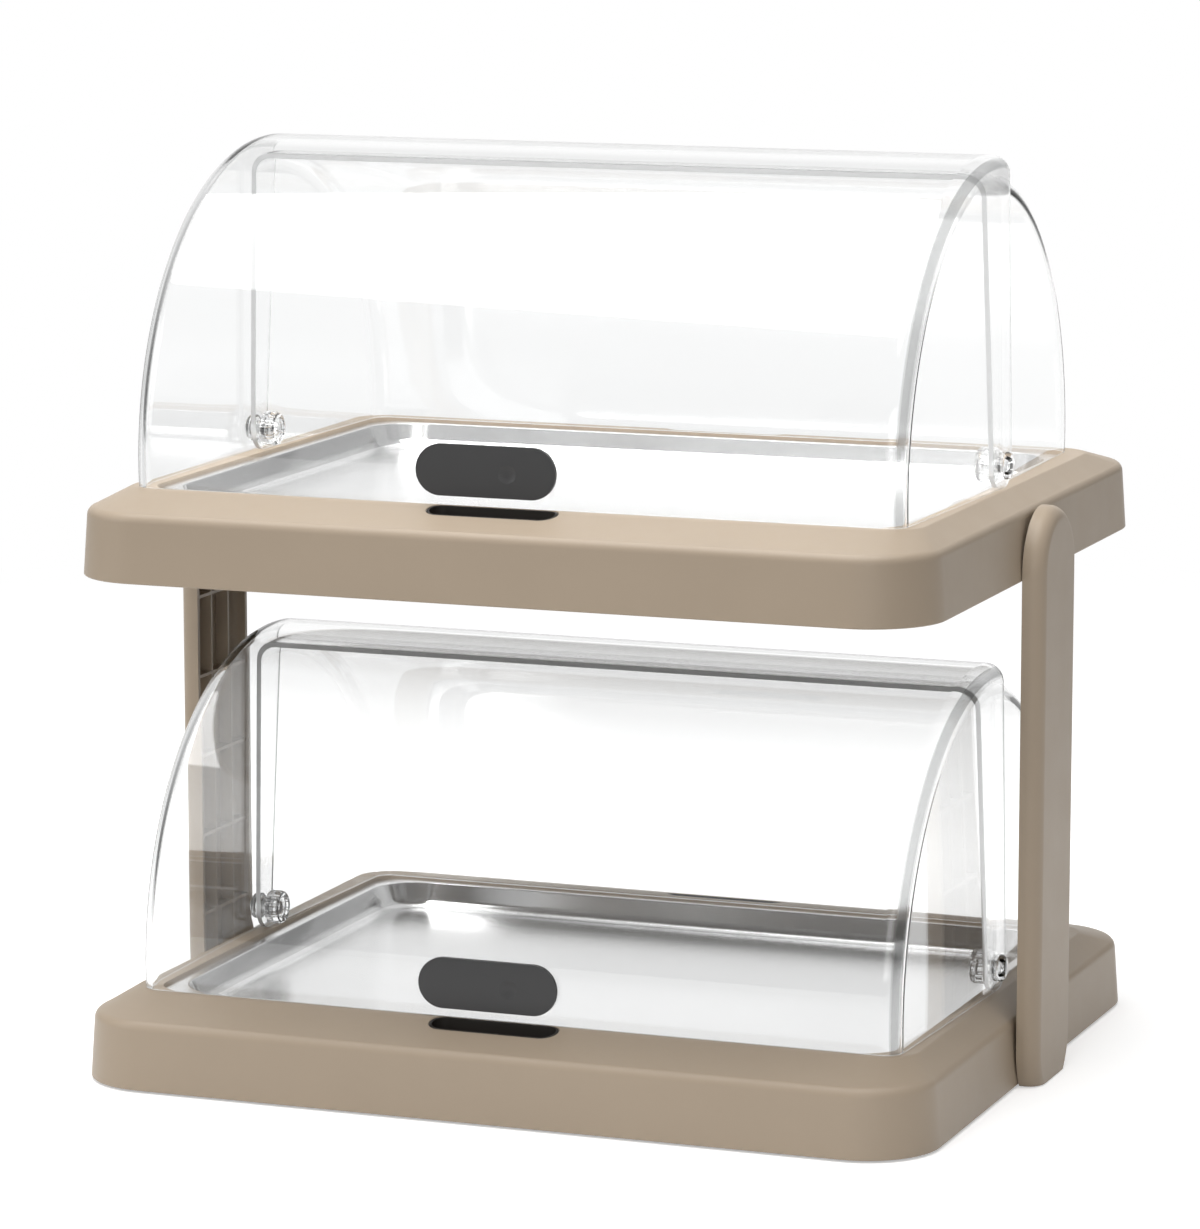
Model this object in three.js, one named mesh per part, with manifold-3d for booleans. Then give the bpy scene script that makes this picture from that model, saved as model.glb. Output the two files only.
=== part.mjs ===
// Chilled roll-top display with two tiers, in millimetres, +Z up, front towards -Y.
// Each tier is a moulded base with a steel tray over cooling packs, under a clear cover of two
// roll-top shells that turn on one pair of hinge pins. Two ribbed channel columns carry the upper tier.
// The origin is on the table, under the middle of the display.

import * as THREE from 'three';
import { mergeVertices } from 'three/addons/utils/BufferGeometryUtils.js';
import Module from 'manifold-3d';

const wasm = await Module();
wasm.setup();

// Clearances
const seatGap = 0.3; // between pieces that rest on or fit into each other
const packGap = 1.5; // round a cooling pack, which is dropped in loosely
const overrun = 6; // how far a cutting solid runs past what it cuts
const weld = 1; // how deep a boss, rib or neck runs into the wall that carries it

// Facets
const outerCornerSteps = 5;
const innerCornerSteps = 3;
const archSteps = 6;
const roundingSteps = 2;
const drumCornerSteps = 3;
const drumSegments = 44;
const roundSegments = 14;
const screwSegments = 8;
const smallRadius = 5.5; // rods thinner than this take the screws' facets

// The tiers
const tierSpacing = 252;
const footProud = 1.2; // the bases stand this far off the table

// The moulded base, all heights from its bottom rim
const baseWidth = 440;
const sideFlange = 18; // from the base's side to the cover's end wall
const endFlange = 39.5; // from the base's front to the cover's front edge
const baseCorner = 38;
const baseWall = 3;
const baseDraft = 2; // the side wall leans in by this up to its rounded edge
const edgeRadius = 5;
const shoulderHeight = 34.3; // outer edge of the sloping flange
const seatHeight = 41; // flat land under the cover
const landMargin = 2; // how far that land runs past the cover
const lipMargin = 2.4; // land left inside the rear shell's end walls
const lipDepthMargin = 5; // land left inside the front shell's front wall
const lipCorner = 17;
const ledgeDrop = 3.3; // from that land down to the ledge that carries the tray's rim
const ledgeWidth = 5.6;
const wellWall = 2.5;
const ribWall = 1.8;

// The ribs under the flange
const sideRibPitch = 40;
const sideRibsEachWay = 2;
const endRibShares = [0.36, 0.58]; // of the base's half width, clear of the finger slots

// The finger slots in the front and rear flange
const slotLength = 67;
const slotWidth = 16;
const slotInset = 25.5; // from the base's outer face to the slot's outer edge
const frontSlotShift = -5.5;
const rearSlotShift = 3;

// The finger cups that line those slots, pressed in from below up to a collar
const cupWall = 1.2;
const cupFloor = 12; // top of the cup's floor
const cupCollarWidth = 3;
const cupCollarThickness = 1.5;

// The bottom panel and its screws
const panelThickness = 2.4;
const panelRise = 1; // the panel sits this far inside the bottom rim
const panelScrewInset = [17, 41];
const panelBossRadius = 5.2;
const panelHeadDepth = 1.2;

// The feet, pushed into the lower panel
const footInset = [32, 23];
const footRadius = 8;
const footStemRadius = 2.8;
const footStemLength = 5;

// The steel tray
const trayDepth = 12.5;
const traySheet = 1;
const trayRimWidth = 7; // along the straight sides
const trayCorner = 26; // of the wall, at its top
const trayLean = 3; // the wall leans in by this down to its rounded foot
const trayFootRadius = 6;
const trayRimThickness = 1.2;

// The cooling packs under each tray
const packsAcross = 2;
const packCorner = 12;
const packEdge = 3;
const packNotch = [30, 17];
const neckRadius = 5.4;
const neckLength = 9;
const capRadius = 7.8;
const capLength = 12;
const capWall = 1.8;
const packChannelShare = 0.7; // of the pack's width
const packChannelWidth = 6;
const packChannelDepth = 2.5;
const packChannelShares = [-0.45, 0, 0.45];

// The cover's two shells, turning about one axis along X
const coverRadius = 151.5; // outer radius of the front shell, the outer one
const coverWall = 2.5;
const coverCorner = 9;
const coverTaper = 4; // each end wall leans in by this from hub to rim
const shellRadiusStep = 8.5; // how much smaller the rear shell is
const shellEndGap = 2.1; // between the two shells' end walls
const hubRadius = 12; // flat disc of the end wall round the pin
const pivotRise = 11.2; // the hinge axis over the land
const rollAngle = 88;

// The hinge pins and knobs
const pinRadius = 3.4;
const pinHeadRadius = 6.8;
const pinHeadThickness = 3.6;
const knobRadius = 8;
const knobLobeDepth = 0.8;
const knobLobes = 10;
const knobStepsPerLobe = 2;
const knobThickness = 8.2;
const knobBevel = 1.2;
const knobEnd = 2.2; // wall left beyond the pin's end

// The thumb plate on the front shell
const plateLength = 72;
const plateWidth = 25;
const plateThickness = 2.2;
const plateRise = 6.3; // middle of the plate over the hinge axis
const plateShift = -10.5;
const dishRadius = 16; // finger dish at the plate's right end
const dishDepth = 0.9;
const dishShare = 0.62; // of the plate's half length, from its middle

// The channel columns
const columnWidth = 61;
const columnThickness = 10.7;
const columnWall = 2.5;
const columnRounding = 7.5;
const columnTopRise = 33.7; // top of the arch over the upper base's bottom rim
const columnFootGap = 0.5; // the columns end just clear of the table
const columnRibWall = 1.6;
const columnRibRecess = 1.4; // the ribs stop this far inside the channel's open face
const columnRibPitch = 41.7;
const columnFirstRib = 10.8;
const columnRibShares = [-1 / 3, 1 / 3];

// The screws
const screwRadius = 1.6;
const screwHeadRadius = 3.1;
const screwHeadThickness = 1.6;
const columnBossRadius = 4.4;
const columnScrewInset = 10.5; // from the column's front and rear edges
const columnScrewHeight = 15;
const columnScrewBite = 7.5; // how far a screw reaches past the base's side
const panelScrewBite = 12;

// Worked-out places
const halfWidth = baseWidth / 2;
const halfDepth = coverRadius + endFlange;
const baseDepth = 2 * halfDepth;
const coverHalfWidth = halfWidth - sideFlange;
const landHalfX = coverHalfWidth + landMargin;
const landHalfY = coverRadius + landMargin;
const shoulderInset = baseDraft + edgeRadius;
const draftTop = shoulderHeight - edgeRadius;
const rearHalfWidth = coverHalfWidth - coverWall - shellEndGap;
const rearRadius = coverRadius - shellRadiusStep;
const lipHalfX = rearHalfWidth - coverWall - lipMargin;
const lipHalfY = coverRadius - lipDepthMargin;
const ledgeHeight = seatHeight - ledgeDrop;
const wellHalfX = lipHalfX - ledgeWidth;
const wellHalfY = lipHalfY - ledgeWidth;
const wellCorner = lipCorner - ledgeWidth / 2;
const ceilingHeight = shoulderHeight - baseWall;
const panelTop = panelRise + panelThickness;
const skirtBottom = panelTop + seatGap;
const pivotHeight = seatHeight + pivotRise;
const earRadius = pivotRise - seatGap;
const trayRimBottom = ledgeHeight + seatGap;
const trayTop = trayRimBottom + trayRimThickness;
const trayFloor = trayTop - trayDepth;
const packBottom = panelTop + seatGap;
const packThickness = trayFloor - traySheet - seatGap - packBottom;
const packHalfX = (2 * wellHalfX - (packsAcross + 1) * packGap) / (2 * packsAcross);
const packHalfY = wellHalfY - packGap;
const screwHole = screwRadius + seatGap;
const panelScrewX = halfWidth - panelScrewInset[0];
const panelScrewY = halfDepth - panelScrewInset[1];
const footX = halfWidth - footInset[0];
const footY = halfDepth - footInset[1];
const columnInside = halfWidth + seatGap;
const columnScrewOffset = columnWidth / 2 - columnScrewInset;

// Materials
const beige = new THREE.MeshStandardMaterial({ color: 0xa69884, roughness: 0.5 });
const clear = new THREE.MeshStandardMaterial({
  color: 0xe9f0f2, roughness: 0.08, transparent: true, opacity: 0.25, side: THREE.DoubleSide,
});
const steel = new THREE.MeshStandardMaterial({ color: 0xc8cccf, roughness: 0.22, metalness: 1 });
const darkPlastic = new THREE.MeshStandardMaterial({ color: 0x4a4a4a, roughness: 0.45 });
const rubber = new THREE.MeshStandardMaterial({ color: 0x2b2b2c, roughness: 0.9 });
const packPlastic = new THREE.MeshStandardMaterial({ color: 0x4f86b5, roughness: 0.4 });
const capPlastic = new THREE.MeshStandardMaterial({ color: 0xe6e8ea, roughness: 0.5 });
const zinc = new THREE.MeshStandardMaterial({ color: 0x9fa3a6, roughness: 0.35, metalness: 1 });

// Solids from three.js geometries, with shared vertices merged and no flat triangles
function toSolid(geometry) {
  const bare = geometry.clone();
  bare.deleteAttribute('normal');
  bare.deleteAttribute('uv');
  const merged = mergeVertices(bare);
  const index = Array.from(merged.index.array);
  const triVerts = [];
  for (let i = 0; i < index.length; i += 3) {
    const [a, b, c] = index.slice(i, i + 3);
    if (a !== b && b !== c && c !== a) triVerts.push(a, b, c);
  }
  const mesh = new wasm.Mesh({
    numProp: 3,
    vertProperties: Float32Array.from(merged.attributes.position.array),
    triVerts: Uint32Array.from(triVerts),
  });
  mesh.merge();
  return new wasm.Manifold(mesh);
}

function toGeometry(solid) {
  const mesh = solid.getMesh();
  const geometry = new THREE.BufferGeometry();
  geometry.setAttribute('position', new THREE.BufferAttribute(mesh.vertProperties, 3));
  geometry.setIndex(new THREE.BufferAttribute(mesh.triVerts, 1));
  return geometry;
}

const joined = (...solids) => solids.reduce((whole, next) => whole.add(next));
const cut = (solid, ...tools) => tools.reduce((left, tool) => left.subtract(tool), solid);

// Points of a rounded rectangle about the origin, counter-clockwise
function roundedOutline(halfX, halfY, radius, steps) {
  const points = [];
  const quarter = Math.PI / 2;
  [[1, -1], [1, 1], [-1, 1], [-1, -1]].forEach(([sideX, sideY], corner) => {
    for (let step = 0; step <= steps; step++) {
      const angle = quarter * (corner - 1 + step / steps);
      points.push([
        sideX * (halfX - radius) + radius * Math.cos(angle),
        sideY * (halfY - radius) + radius * Math.sin(angle),
      ]);
    }
  });
  return points;
}

// Closed solid through rounded rectangles stacked along +Z, each { halfX, halfY, radius, z }
function stacked(steps, levels) {
  const rings = levels.map(({ halfX, halfY, radius }) => roundedOutline(halfX, halfY, radius, steps));
  const count = rings[0].length;
  const positions = rings.flatMap((ring, level) => ring.flatMap(([x, y]) => [x, y, levels[level].z]));
  const bottomMiddle = rings.length * count;
  const topMiddle = bottomMiddle + 1;
  positions.push(0, 0, levels[0].z, 0, 0, levels.at(-1).z);
  const topRing = bottomMiddle - count;
  const index = [];
  for (let i = 0; i < count; i++) {
    const next = (i + 1) % count;
    for (let low = 0; low < topRing; low += count) {
      const high = low + count;
      index.push(low + i, low + next, high + next, low + i, high + next, high + i);
    }
    index.push(bottomMiddle, next, i, topMiddle, topRing + i, topRing + next);
  }
  const geometry = new THREE.BufferGeometry();
  geometry.setAttribute('position', new THREE.Float32BufferAttribute(positions, 3));
  geometry.setIndex(index);
  return geometry;
}

// Level of a stack whose outline lies inside a rounded rectangle by an inset
const insetLevel = (halfX, halfY, radius, inset, z) => ({
  halfX: halfX - inset, halfY: halfY - inset, radius: radius - inset, z,
});

// Levels that round an edge off: the inset grows by reach while z grows by rise
function roundedEdge(halfX, halfY, radius, inset, reach, z, rise) {
  const levels = [];
  for (let step = 0; step <= roundingSteps; step++) {
    const angle = (Math.PI / 2) * (step / roundingSteps);
    const grown = inset + reach * (1 - Math.cos(angle));
    levels.push(insetLevel(halfX, halfY, radius, grown, z + rise * Math.sin(angle)));
  }
  return levels;
}

const block = (sizeX, sizeY, sizeZ, x, y, z) =>
  new THREE.BoxGeometry(sizeX, sizeY, sizeZ).translate(x, y, z);

// Cylinder along an axis from one end to the other, at the two other coordinates
function rod(axis, radius, from, to, first, second) {
  const segments = radius > smallRadius ? roundSegments : screwSegments;
  const geometry = new THREE.CylinderGeometry(radius, radius, to - from, segments);
  const middle = (from + to) / 2;
  if (axis === 'x') return geometry.rotateZ(-Math.PI / 2).translate(middle, first, second);
  if (axis === 'y') return geometry.translate(first, middle, second);
  return geometry.rotateX(Math.PI / 2).translate(first, second, middle);
}

// Solid of revolution about the X axis from [radius, x] points that start and end on the axis
function revolved(points, segments) {
  const profile = points.map(([radius, along]) => new THREE.Vector2(radius, along));
  return new THREE.LatheGeometry(profile, segments).rotateZ(-Math.PI / 2);
}

// Stadium shape, long along X
function stadium(length, width) {
  const radius = width / 2;
  const reach = length / 2 - radius;
  const shape = new THREE.Shape();
  shape.absarc(reach, 0, radius, -Math.PI / 2, Math.PI / 2);
  shape.absarc(-reach, 0, radius, Math.PI / 2, (3 * Math.PI) / 2);
  return shape;
}

const extruded = (shape, depth) =>
  new THREE.ExtrudeGeometry(shape, { depth, bevelEnabled: false, curveSegments: roundSegments / 2 });

// Moulded base
const baseRim = [halfWidth, halfDepth, baseCorner];

function baseOutside() {
  return toSolid(stacked(outerCornerSteps, [
    insetLevel(...baseRim, 0, 0),
    ...roundedEdge(...baseRim, baseDraft, edgeRadius, draftTop, edgeRadius),
    { halfX: landHalfX, halfY: landHalfY, radius: lipCorner + landMargin, z: seatHeight },
  ]));
}

// Room under the flange, between the side wall and the well
function baseHollow() {
  return toSolid(stacked(outerCornerSteps, [
    insetLevel(...baseRim, baseWall, -overrun),
    insetLevel(...baseRim, baseWall, 0),
    insetLevel(...baseRim, baseWall + baseDraft, draftTop),
    insetLevel(...baseRim, baseWall + shoulderInset, ceilingHeight),
  ]));
}

const wellTube = (growth, from, to) => toSolid(stacked(innerCornerSteps, [
  insetLevel(wellHalfX, wellHalfY, wellCorner, -growth, from),
  insetLevel(wellHalfX, wellHalfY, wellCorner, -growth, to),
]));

function flangeRibs() {
  const ribs = [];
  const height = ceilingHeight - skirtBottom + weld;
  const middle = skirtBottom + height / 2;
  for (let rib = -sideRibsEachWay; rib <= sideRibsEachWay; rib++) {
    ribs.push(toSolid(block(baseWidth, ribWall, height, 0, rib * sideRibPitch, middle)));
  }
  for (const share of endRibShares.flatMap((size) => [-size, size])) {
    ribs.push(toSolid(block(ribWall, baseDepth, height, share * halfWidth, 0, middle)));
  }
  return joined(...ribs);
}

function panelBosses() {
  const bosses = fourCorners(panelScrewX, panelScrewY).map(([x, y]) =>
    toSolid(rod('z', panelBossRadius, skirtBottom, ceilingHeight + weld, x, y)));
  return joined(...bosses);
}

const fourCorners = (x, y) => [[-x, -y], [x, -y], [x, y], [-x, y]];

// Prism of the finger slot's outline, grown all round, from one height to another
function slotPrism(side, shift, growth, from, to) {
  const middle = side * (halfDepth - slotInset - slotWidth / 2);
  const outline = stadium(slotLength + 2 * growth, slotWidth + 2 * growth);
  return toSolid(extruded(outline, to - from).translate(shift, middle, from));
}

const fingerSlot = (side, shift) => slotPrism(side, shift, 0, skirtBottom, seatHeight + overrun);

function makeBase() {
  const wellSide = wellTube(wellWall, skirtBottom, ceilingHeight + weld);
  const shell = cut(baseOutside(), cut(baseHollow(), flangeRibs(), panelBosses(), wellSide));
  const ledge = toSolid(stacked(innerCornerSteps, [
    insetLevel(lipHalfX, lipHalfY, lipCorner, 0, ledgeHeight),
    insetLevel(lipHalfX, lipHalfY, lipCorner, 0, seatHeight + overrun),
  ]));
  const screwHoles = fourCorners(panelScrewX, panelScrewY).map(([x, y]) =>
    toSolid(rod('z', screwHole, -overrun, panelRise + panelScrewBite + weld, x, y)));
  const columnHoles = [-columnScrewOffset, columnScrewOffset].map((y) =>
    toSolid(rod('x', screwHole, -halfWidth - overrun, halfWidth + overrun, y, columnScrewHeight)));
  const sideOnly = toSolid(block(
    2 * (halfWidth - baseWall - baseDraft - overrun), baseDepth, baseDepth, 0, 0, 0));
  return cut(
    shell, wellTube(0, -overrun, seatHeight + overrun), ledge,
    fingerSlot(-1, frontSlotShift), fingerSlot(1, rearSlotShift),
    ...screwHoles, ...columnHoles.map((hole) => cut(hole, sideOnly)));
}

// Finger cup: a dark liner whose rim follows the flange just below its face
function makeFingerCup(side, shift) {
  const collarTop = ceilingHeight - seatGap;
  const outside = joined(
    slotPrism(side, shift, -seatGap, cupFloor - cupWall, seatHeight),
    slotPrism(side, shift, cupCollarWidth, collarTop - cupCollarThickness, collarTop));
  const inside = slotPrism(side, shift, -seatGap - cupWall, cupFloor, seatHeight + overrun);
  return cut(outside.intersect(baseOutside().translate([0, 0, -seatGap])), inside);
}

// Bottom panel, inside the base's bottom rim
function makePanel(withFeet) {
  const edge = baseWall + baseDraft * (panelTop / draftTop) + seatGap;
  const panel = toSolid(stacked(outerCornerSteps, [
    insetLevel(...baseRim, edge, panelRise),
    insetLevel(...baseRim, edge, panelTop),
  ]));
  const holes = fourCorners(panelScrewX, panelScrewY).flatMap(([x, y]) => [
    toSolid(rod('z', screwHole, -overrun, panelTop + overrun, x, y)),
    toSolid(rod('z', screwHeadRadius + seatGap, -overrun, panelRise + panelHeadDepth, x, y)),
  ]);
  const stemHoles = withFeet ? fourCorners(footX, footY).map(([x, y]) =>
    toSolid(rod('z', footStemRadius + seatGap, -overrun, panelTop + overrun, x, y))) : [];
  return cut(panel, ...holes, ...stemHoles);
}

// Rubber foot: a disc on the table with a stem pushed up through the panel
function makeFoot(x, y) {
  const discTop = panelRise - seatGap;
  const disc = toSolid(rod('z', footRadius, -footProud, discTop, x, y));
  const stem = toSolid(rod('z', footStemRadius, discTop - weld, discTop + footStemLength, x, y));
  return joined(disc, stem);
}

// Screw with a pan head, along +Z from the head's outer face at the origin
function screwProfile(bite) {
  const chamfer = screwRadius / 2;
  return [
    [0, 0], [screwHeadRadius - chamfer, 0], [screwHeadRadius, chamfer],
    [screwHeadRadius, screwHeadThickness], [screwRadius, screwHeadThickness],
    [screwRadius, screwHeadThickness + bite - chamfer], [0, screwHeadThickness + bite],
  ];
}

function makePanelScrew(x, y) {
  const headTop = panelRise + panelHeadDepth - seatGap;
  const upright = revolved(screwProfile(panelScrewBite - panelHeadDepth), screwSegments)
    .rotateY(-Math.PI / 2);
  return toSolid(upright.translate(x, y, headTop - screwHeadThickness));
}

// Column screw, driven outwards from the room under the flange
function makeColumnScrew(side, y, z) {
  const lean = baseDraft * ((columnScrewHeight + screwHeadRadius) / draftTop);
  const wallInside = halfWidth - baseWall - lean - seatGap;
  const screw = revolved(screwProfile(halfWidth - wallInside + columnScrewBite), screwSegments)
    .translate(wallInside - screwHeadThickness, 0, 0);
  if (side < 0) screw.rotateZ(Math.PI);
  return toSolid(screw.translate(0, y, z));
}

// Pressed steel tray with a flat rim
function trayLevels(growth, bottom, top) {
  const rimHalfX = lipHalfX - seatGap;
  const rimHalfY = lipHalfY - seatGap;
  const wall = [rimHalfX - trayRimWidth, rimHalfY - trayRimWidth, trayCorner].map((size) => size + growth);
  const rounding = trayFootRadius + growth;
  const foot = roundedEdge(...wall, trayLean, rounding / 2, bottom + rounding, -rounding);
  return [...foot.reverse(), insetLevel(...wall, 0, top)];
}

function makeTray() {
  const rim = toSolid(stacked(innerCornerSteps, [
    insetLevel(lipHalfX, lipHalfY, lipCorner, seatGap, trayRimBottom),
    insetLevel(lipHalfX, lipHalfY, lipCorner, seatGap, trayTop),
  ]));
  const outside = toSolid(stacked(outerCornerSteps, trayLevels(traySheet, trayFloor - traySheet, trayTop)));
  const inside = toSolid(stacked(outerCornerSteps, trayLevels(0, trayFloor, trayTop + overrun)));
  return cut(joined(rim, outside), inside);
}

// Cooling pack with a filler neck in a notch at its front corner
function makePack(side) {
  const middle = side * (packHalfX + packGap / 2);
  const outline = [packHalfX, packHalfY, packCorner];
  const top = packBottom + packThickness;
  const body = toSolid(stacked(innerCornerSteps, [
    ...roundedEdge(...outline, 0, packEdge, packBottom + packEdge, -packEdge).reverse(),
    ...roundedEdge(...outline, 0, packEdge, top - packEdge, packEdge),
  ]));
  const [notchX, notchY] = packNotch;
  const notchSide = packHalfX - notchX / 2;
  const notch = toSolid(block(notchX + overrun, notchY + overrun, packThickness + overrun,
    notchSide + overrun / 2, -packHalfY + (notchY - overrun) / 2, (packBottom + top) / 2));
  const channels = packChannelShares.map((share) => toSolid(block(
    2 * packChannelShare * packHalfX, packChannelWidth, packChannelDepth * 2, 0, share * packHalfY, top)));
  const neckFrom = -packHalfY + notchY;
  const neck = toSolid(rod('y', neckRadius, neckFrom - neckLength, neckFrom + weld,
    notchSide, (packBottom + top) / 2));
  return joined(cut(body, notch, ...channels), neck).translate([middle, 0, 0]);
}

function makeCap(side) {
  const middle = side * (packHalfX + packGap / 2) + packHalfX - packNotch[0] / 2;
  const mouth = -packHalfY + packNotch[1] - seatGap;
  const height = packBottom + packThickness / 2;
  const outside = toSolid(rod('y', capRadius, mouth - capLength, mouth, middle, height));
  const bore = toSolid(rod('y', neckRadius + seatGap, mouth - capLength + capWall, mouth + overrun,
    middle, height));
  return cut(outside, bore);
}

// Profile of a drum about the hinge axis: flat hubs, end walls that lean in, rounded rims
function drumProfile(radius, halfLength, corner) {
  const endRadius = radius - corner;
  const lean = coverTaper * ((endRadius - hubRadius) / (coverRadius - coverCorner - hubRadius));
  const half = [[0, halfLength], [hubRadius, halfLength]];
  for (let step = 0; step <= drumCornerSteps; step++) {
    const angle = (Math.PI / 2) * (1 - step / drumCornerSteps);
    half.push([
      endRadius + corner * Math.cos(angle),
      halfLength - lean - corner + corner * Math.sin(angle),
    ]);
  }
  const otherHalf = half.map(([r, along]) => [r, -along]);
  return [...otherHalf, ...half.reverse()];
}

// Sector of a shell, seen along X: it ends on two lines that touch the round ear about the hinge
function shellSector(side) {
  const reach = coverRadius + overrun;
  const lean = THREE.MathUtils.degToRad(90 - rollAngle);
  const shape = new THREE.Shape();
  const at = (y, z) => [-side * y, z];
  shape.moveTo(...at(-reach, -earRadius));
  for (let step = 0; step <= roundSegments / 2; step++) {
    const angle = -Math.PI / 2 + (Math.PI / 2 - lean) * (step / (roundSegments / 2));
    shape.lineTo(...at(earRadius * Math.cos(angle), earRadius * Math.sin(angle)));
  }
  shape.lineTo(...at(
    earRadius * Math.cos(lean) + reach * Math.sin(lean),
    -earRadius * Math.sin(lean) + reach * Math.cos(lean)));
  shape.lineTo(...at(-reach, reach));
  return shape;
}

// Roll-top shell in the frame of its hinge axis. Side -1 is the front shell, 1 the rear one
function makeShell(side, radius, halfLength) {
  const drum = cut(
    toSolid(revolved(drumProfile(radius, halfLength, coverCorner), drumSegments)),
    toSolid(revolved(
      drumProfile(radius - coverWall, halfLength - coverWall, coverCorner - coverWall), drumSegments)));
  const sector = toSolid(extruded(shellSector(side), 2 * coverHalfWidth + overrun)
    .rotateY(Math.PI / 2).rotateX(Math.PI / 2).translate(-coverHalfWidth - overrun / 2, 0, 0));
  const bore = toSolid(rod('x', pinRadius + seatGap, -coverHalfWidth - overrun,
    coverHalfWidth + overrun, 0, 0));
  return cut(drum.intersect(sector), bore);
}

// Hinge pin: a domed head outside the cover and a shank through both end walls into the knob
const pinTip = rearHalfWidth - coverWall - seatGap - knobThickness + knobEnd + seatGap;

function makePin(side) {
  const headFrom = coverHalfWidth + seatGap;
  const half = pinHeadThickness / 2;
  const profile = [
    [0, pinTip], [pinRadius, pinTip], [pinRadius, headFrom], [pinHeadRadius, headFrom],
    [pinHeadRadius, headFrom + half], [pinRadius, headFrom + pinHeadThickness],
    [0, headFrom + pinHeadThickness],
  ];
  const pin = revolved(profile, roundSegments);
  if (side < 0) pin.rotateZ(Math.PI);
  return toSolid(pin);
}

// Hinge knob: a lobed rosette inside the cover
function makeKnob(side) {
  const shape = new THREE.Shape();
  const steps = knobLobes * knobStepsPerLobe;
  for (let step = 0; step < steps; step++) {
    const angle = (2 * Math.PI * step) / steps;
    const radius = knobRadius - knobBevel + knobLobeDepth * Math.cos(knobLobes * angle);
    if (step === 0) shape.moveTo(radius, 0);
    else shape.lineTo(radius * Math.cos(angle), radius * Math.sin(angle));
  }
  const rosette = new THREE.ExtrudeGeometry(shape, {
    depth: knobThickness - 2 * knobBevel, bevelSize: knobBevel, bevelThickness: knobBevel, bevelSegments: 1,
  });
  const outerFace = rearHalfWidth - coverWall - seatGap;
  const middle = side * (outerFace - knobThickness / 2);
  const knob = toSolid(rosette.translate(0, 0, knobBevel - knobThickness / 2)
    .rotateY(Math.PI / 2).translate(middle, 0, 0));
  const boreEnds = [side * (pinTip - seatGap), side * (outerFace + overrun)].sort((a, b) => a - b);
  return cut(knob, toSolid(rod('x', pinRadius + seatGap, ...boreEnds, 0, 0)));
}

// Thumb plate that follows the front shell, with a shallow finger dish at its right end
function makePlate() {
  const inside = coverRadius + seatGap;
  const outside = inside + plateThickness;
  const reach = plateLength + Math.abs(plateShift);
  const ring = (radius) => toSolid(revolved(
    [[0, -reach], [radius, -reach], [radius, reach], [0, reach]], drumSegments));
  const outline = toSolid(extruded(stadium(plateLength, plateWidth), 2 * outside)
    .rotateX(Math.PI / 2).translate(plateShift, 0, plateRise));
  const dish = new THREE.SphereGeometry(dishRadius, roundSegments, roundSegments / 2);
  const dishX = plateShift + dishShare * (plateLength / 2);
  const dishY = -outside - dishRadius + dishDepth;
  return cut(
    ring(outside).intersect(outline), ring(inside), toSolid(dish.translate(dishX, dishY, plateRise)));
}

// Channel column, open towards the bases, with an arched top and a lattice of ribs
const columnTop = footProud + tierSpacing + columnTopRise;

function columnBody(inset, from, to, rounding) {
  const halfHeight = (columnTop + 2 * overrun) / 2;
  const half = columnWidth / 2;
  const outline = [half, halfHeight, half];
  const body = stacked(archSteps, [
    insetLevel(...outline, inset, from),
    ...roundedEdge(...outline, inset, rounding, to - rounding, rounding),
  ]);
  return toSolid(body.rotateX(Math.PI / 2).rotateZ(Math.PI / 2).translate(0, 0, columnTop - halfHeight));
}

function columnRibs() {
  const depth = columnThickness - columnWall - columnRibRecess + weld;
  const middle = columnInside + columnRibRecess + depth / 2;
  const ribs = columnRibShares.map((share) => toSolid(block(
    depth, columnRibWall, columnTop, middle, share * columnWidth / 2, columnTop / 2)));
  for (let height = columnFirstRib; height < columnTop; height += columnRibPitch) {
    ribs.push(toSolid(block(depth, columnWidth, columnRibWall, middle, 0, height)));
  }
  return joined(...ribs);
}

const columnScrewPlaces = [0, 1].flatMap((level) => [-columnScrewOffset, columnScrewOffset].map((y) =>
  [y, footProud + level * tierSpacing + columnScrewHeight]));

function makeColumn(side) {
  const outer = columnInside + columnThickness;
  const body = columnBody(0, columnInside, outer, columnRounding);
  const channel = columnBody(
    columnWall, columnInside - overrun, outer - columnWall, columnRounding - columnWall);
  const bosses = columnScrewPlaces.map(([y, z]) =>
    toSolid(rod('x', columnBossRadius, columnInside, outer - columnWall + weld, y, z)));
  const bores = columnScrewPlaces.map(([y, z]) => toSolid(rod('x', screwHole,
    columnInside - overrun, halfWidth + columnScrewBite + seatGap, y, z)));
  const below = toSolid(block(2 * (outer + overrun), columnWidth + overrun, columnTop,
    0, 0, columnFootGap - columnTop / 2));
  const column = cut(body, cut(channel, columnRibs(), ...bosses), below, ...bores);
  return side > 0 ? column : column.rotate([0, 0, 180]);
}

// Assembly
const display = new THREE.Group();

function addPiece(parent, name, material, solid) {
  const mesh = new THREE.Mesh(toGeometry(solid), material);
  mesh.name = name;
  parent.add(mesh);
  return mesh;
}

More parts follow.
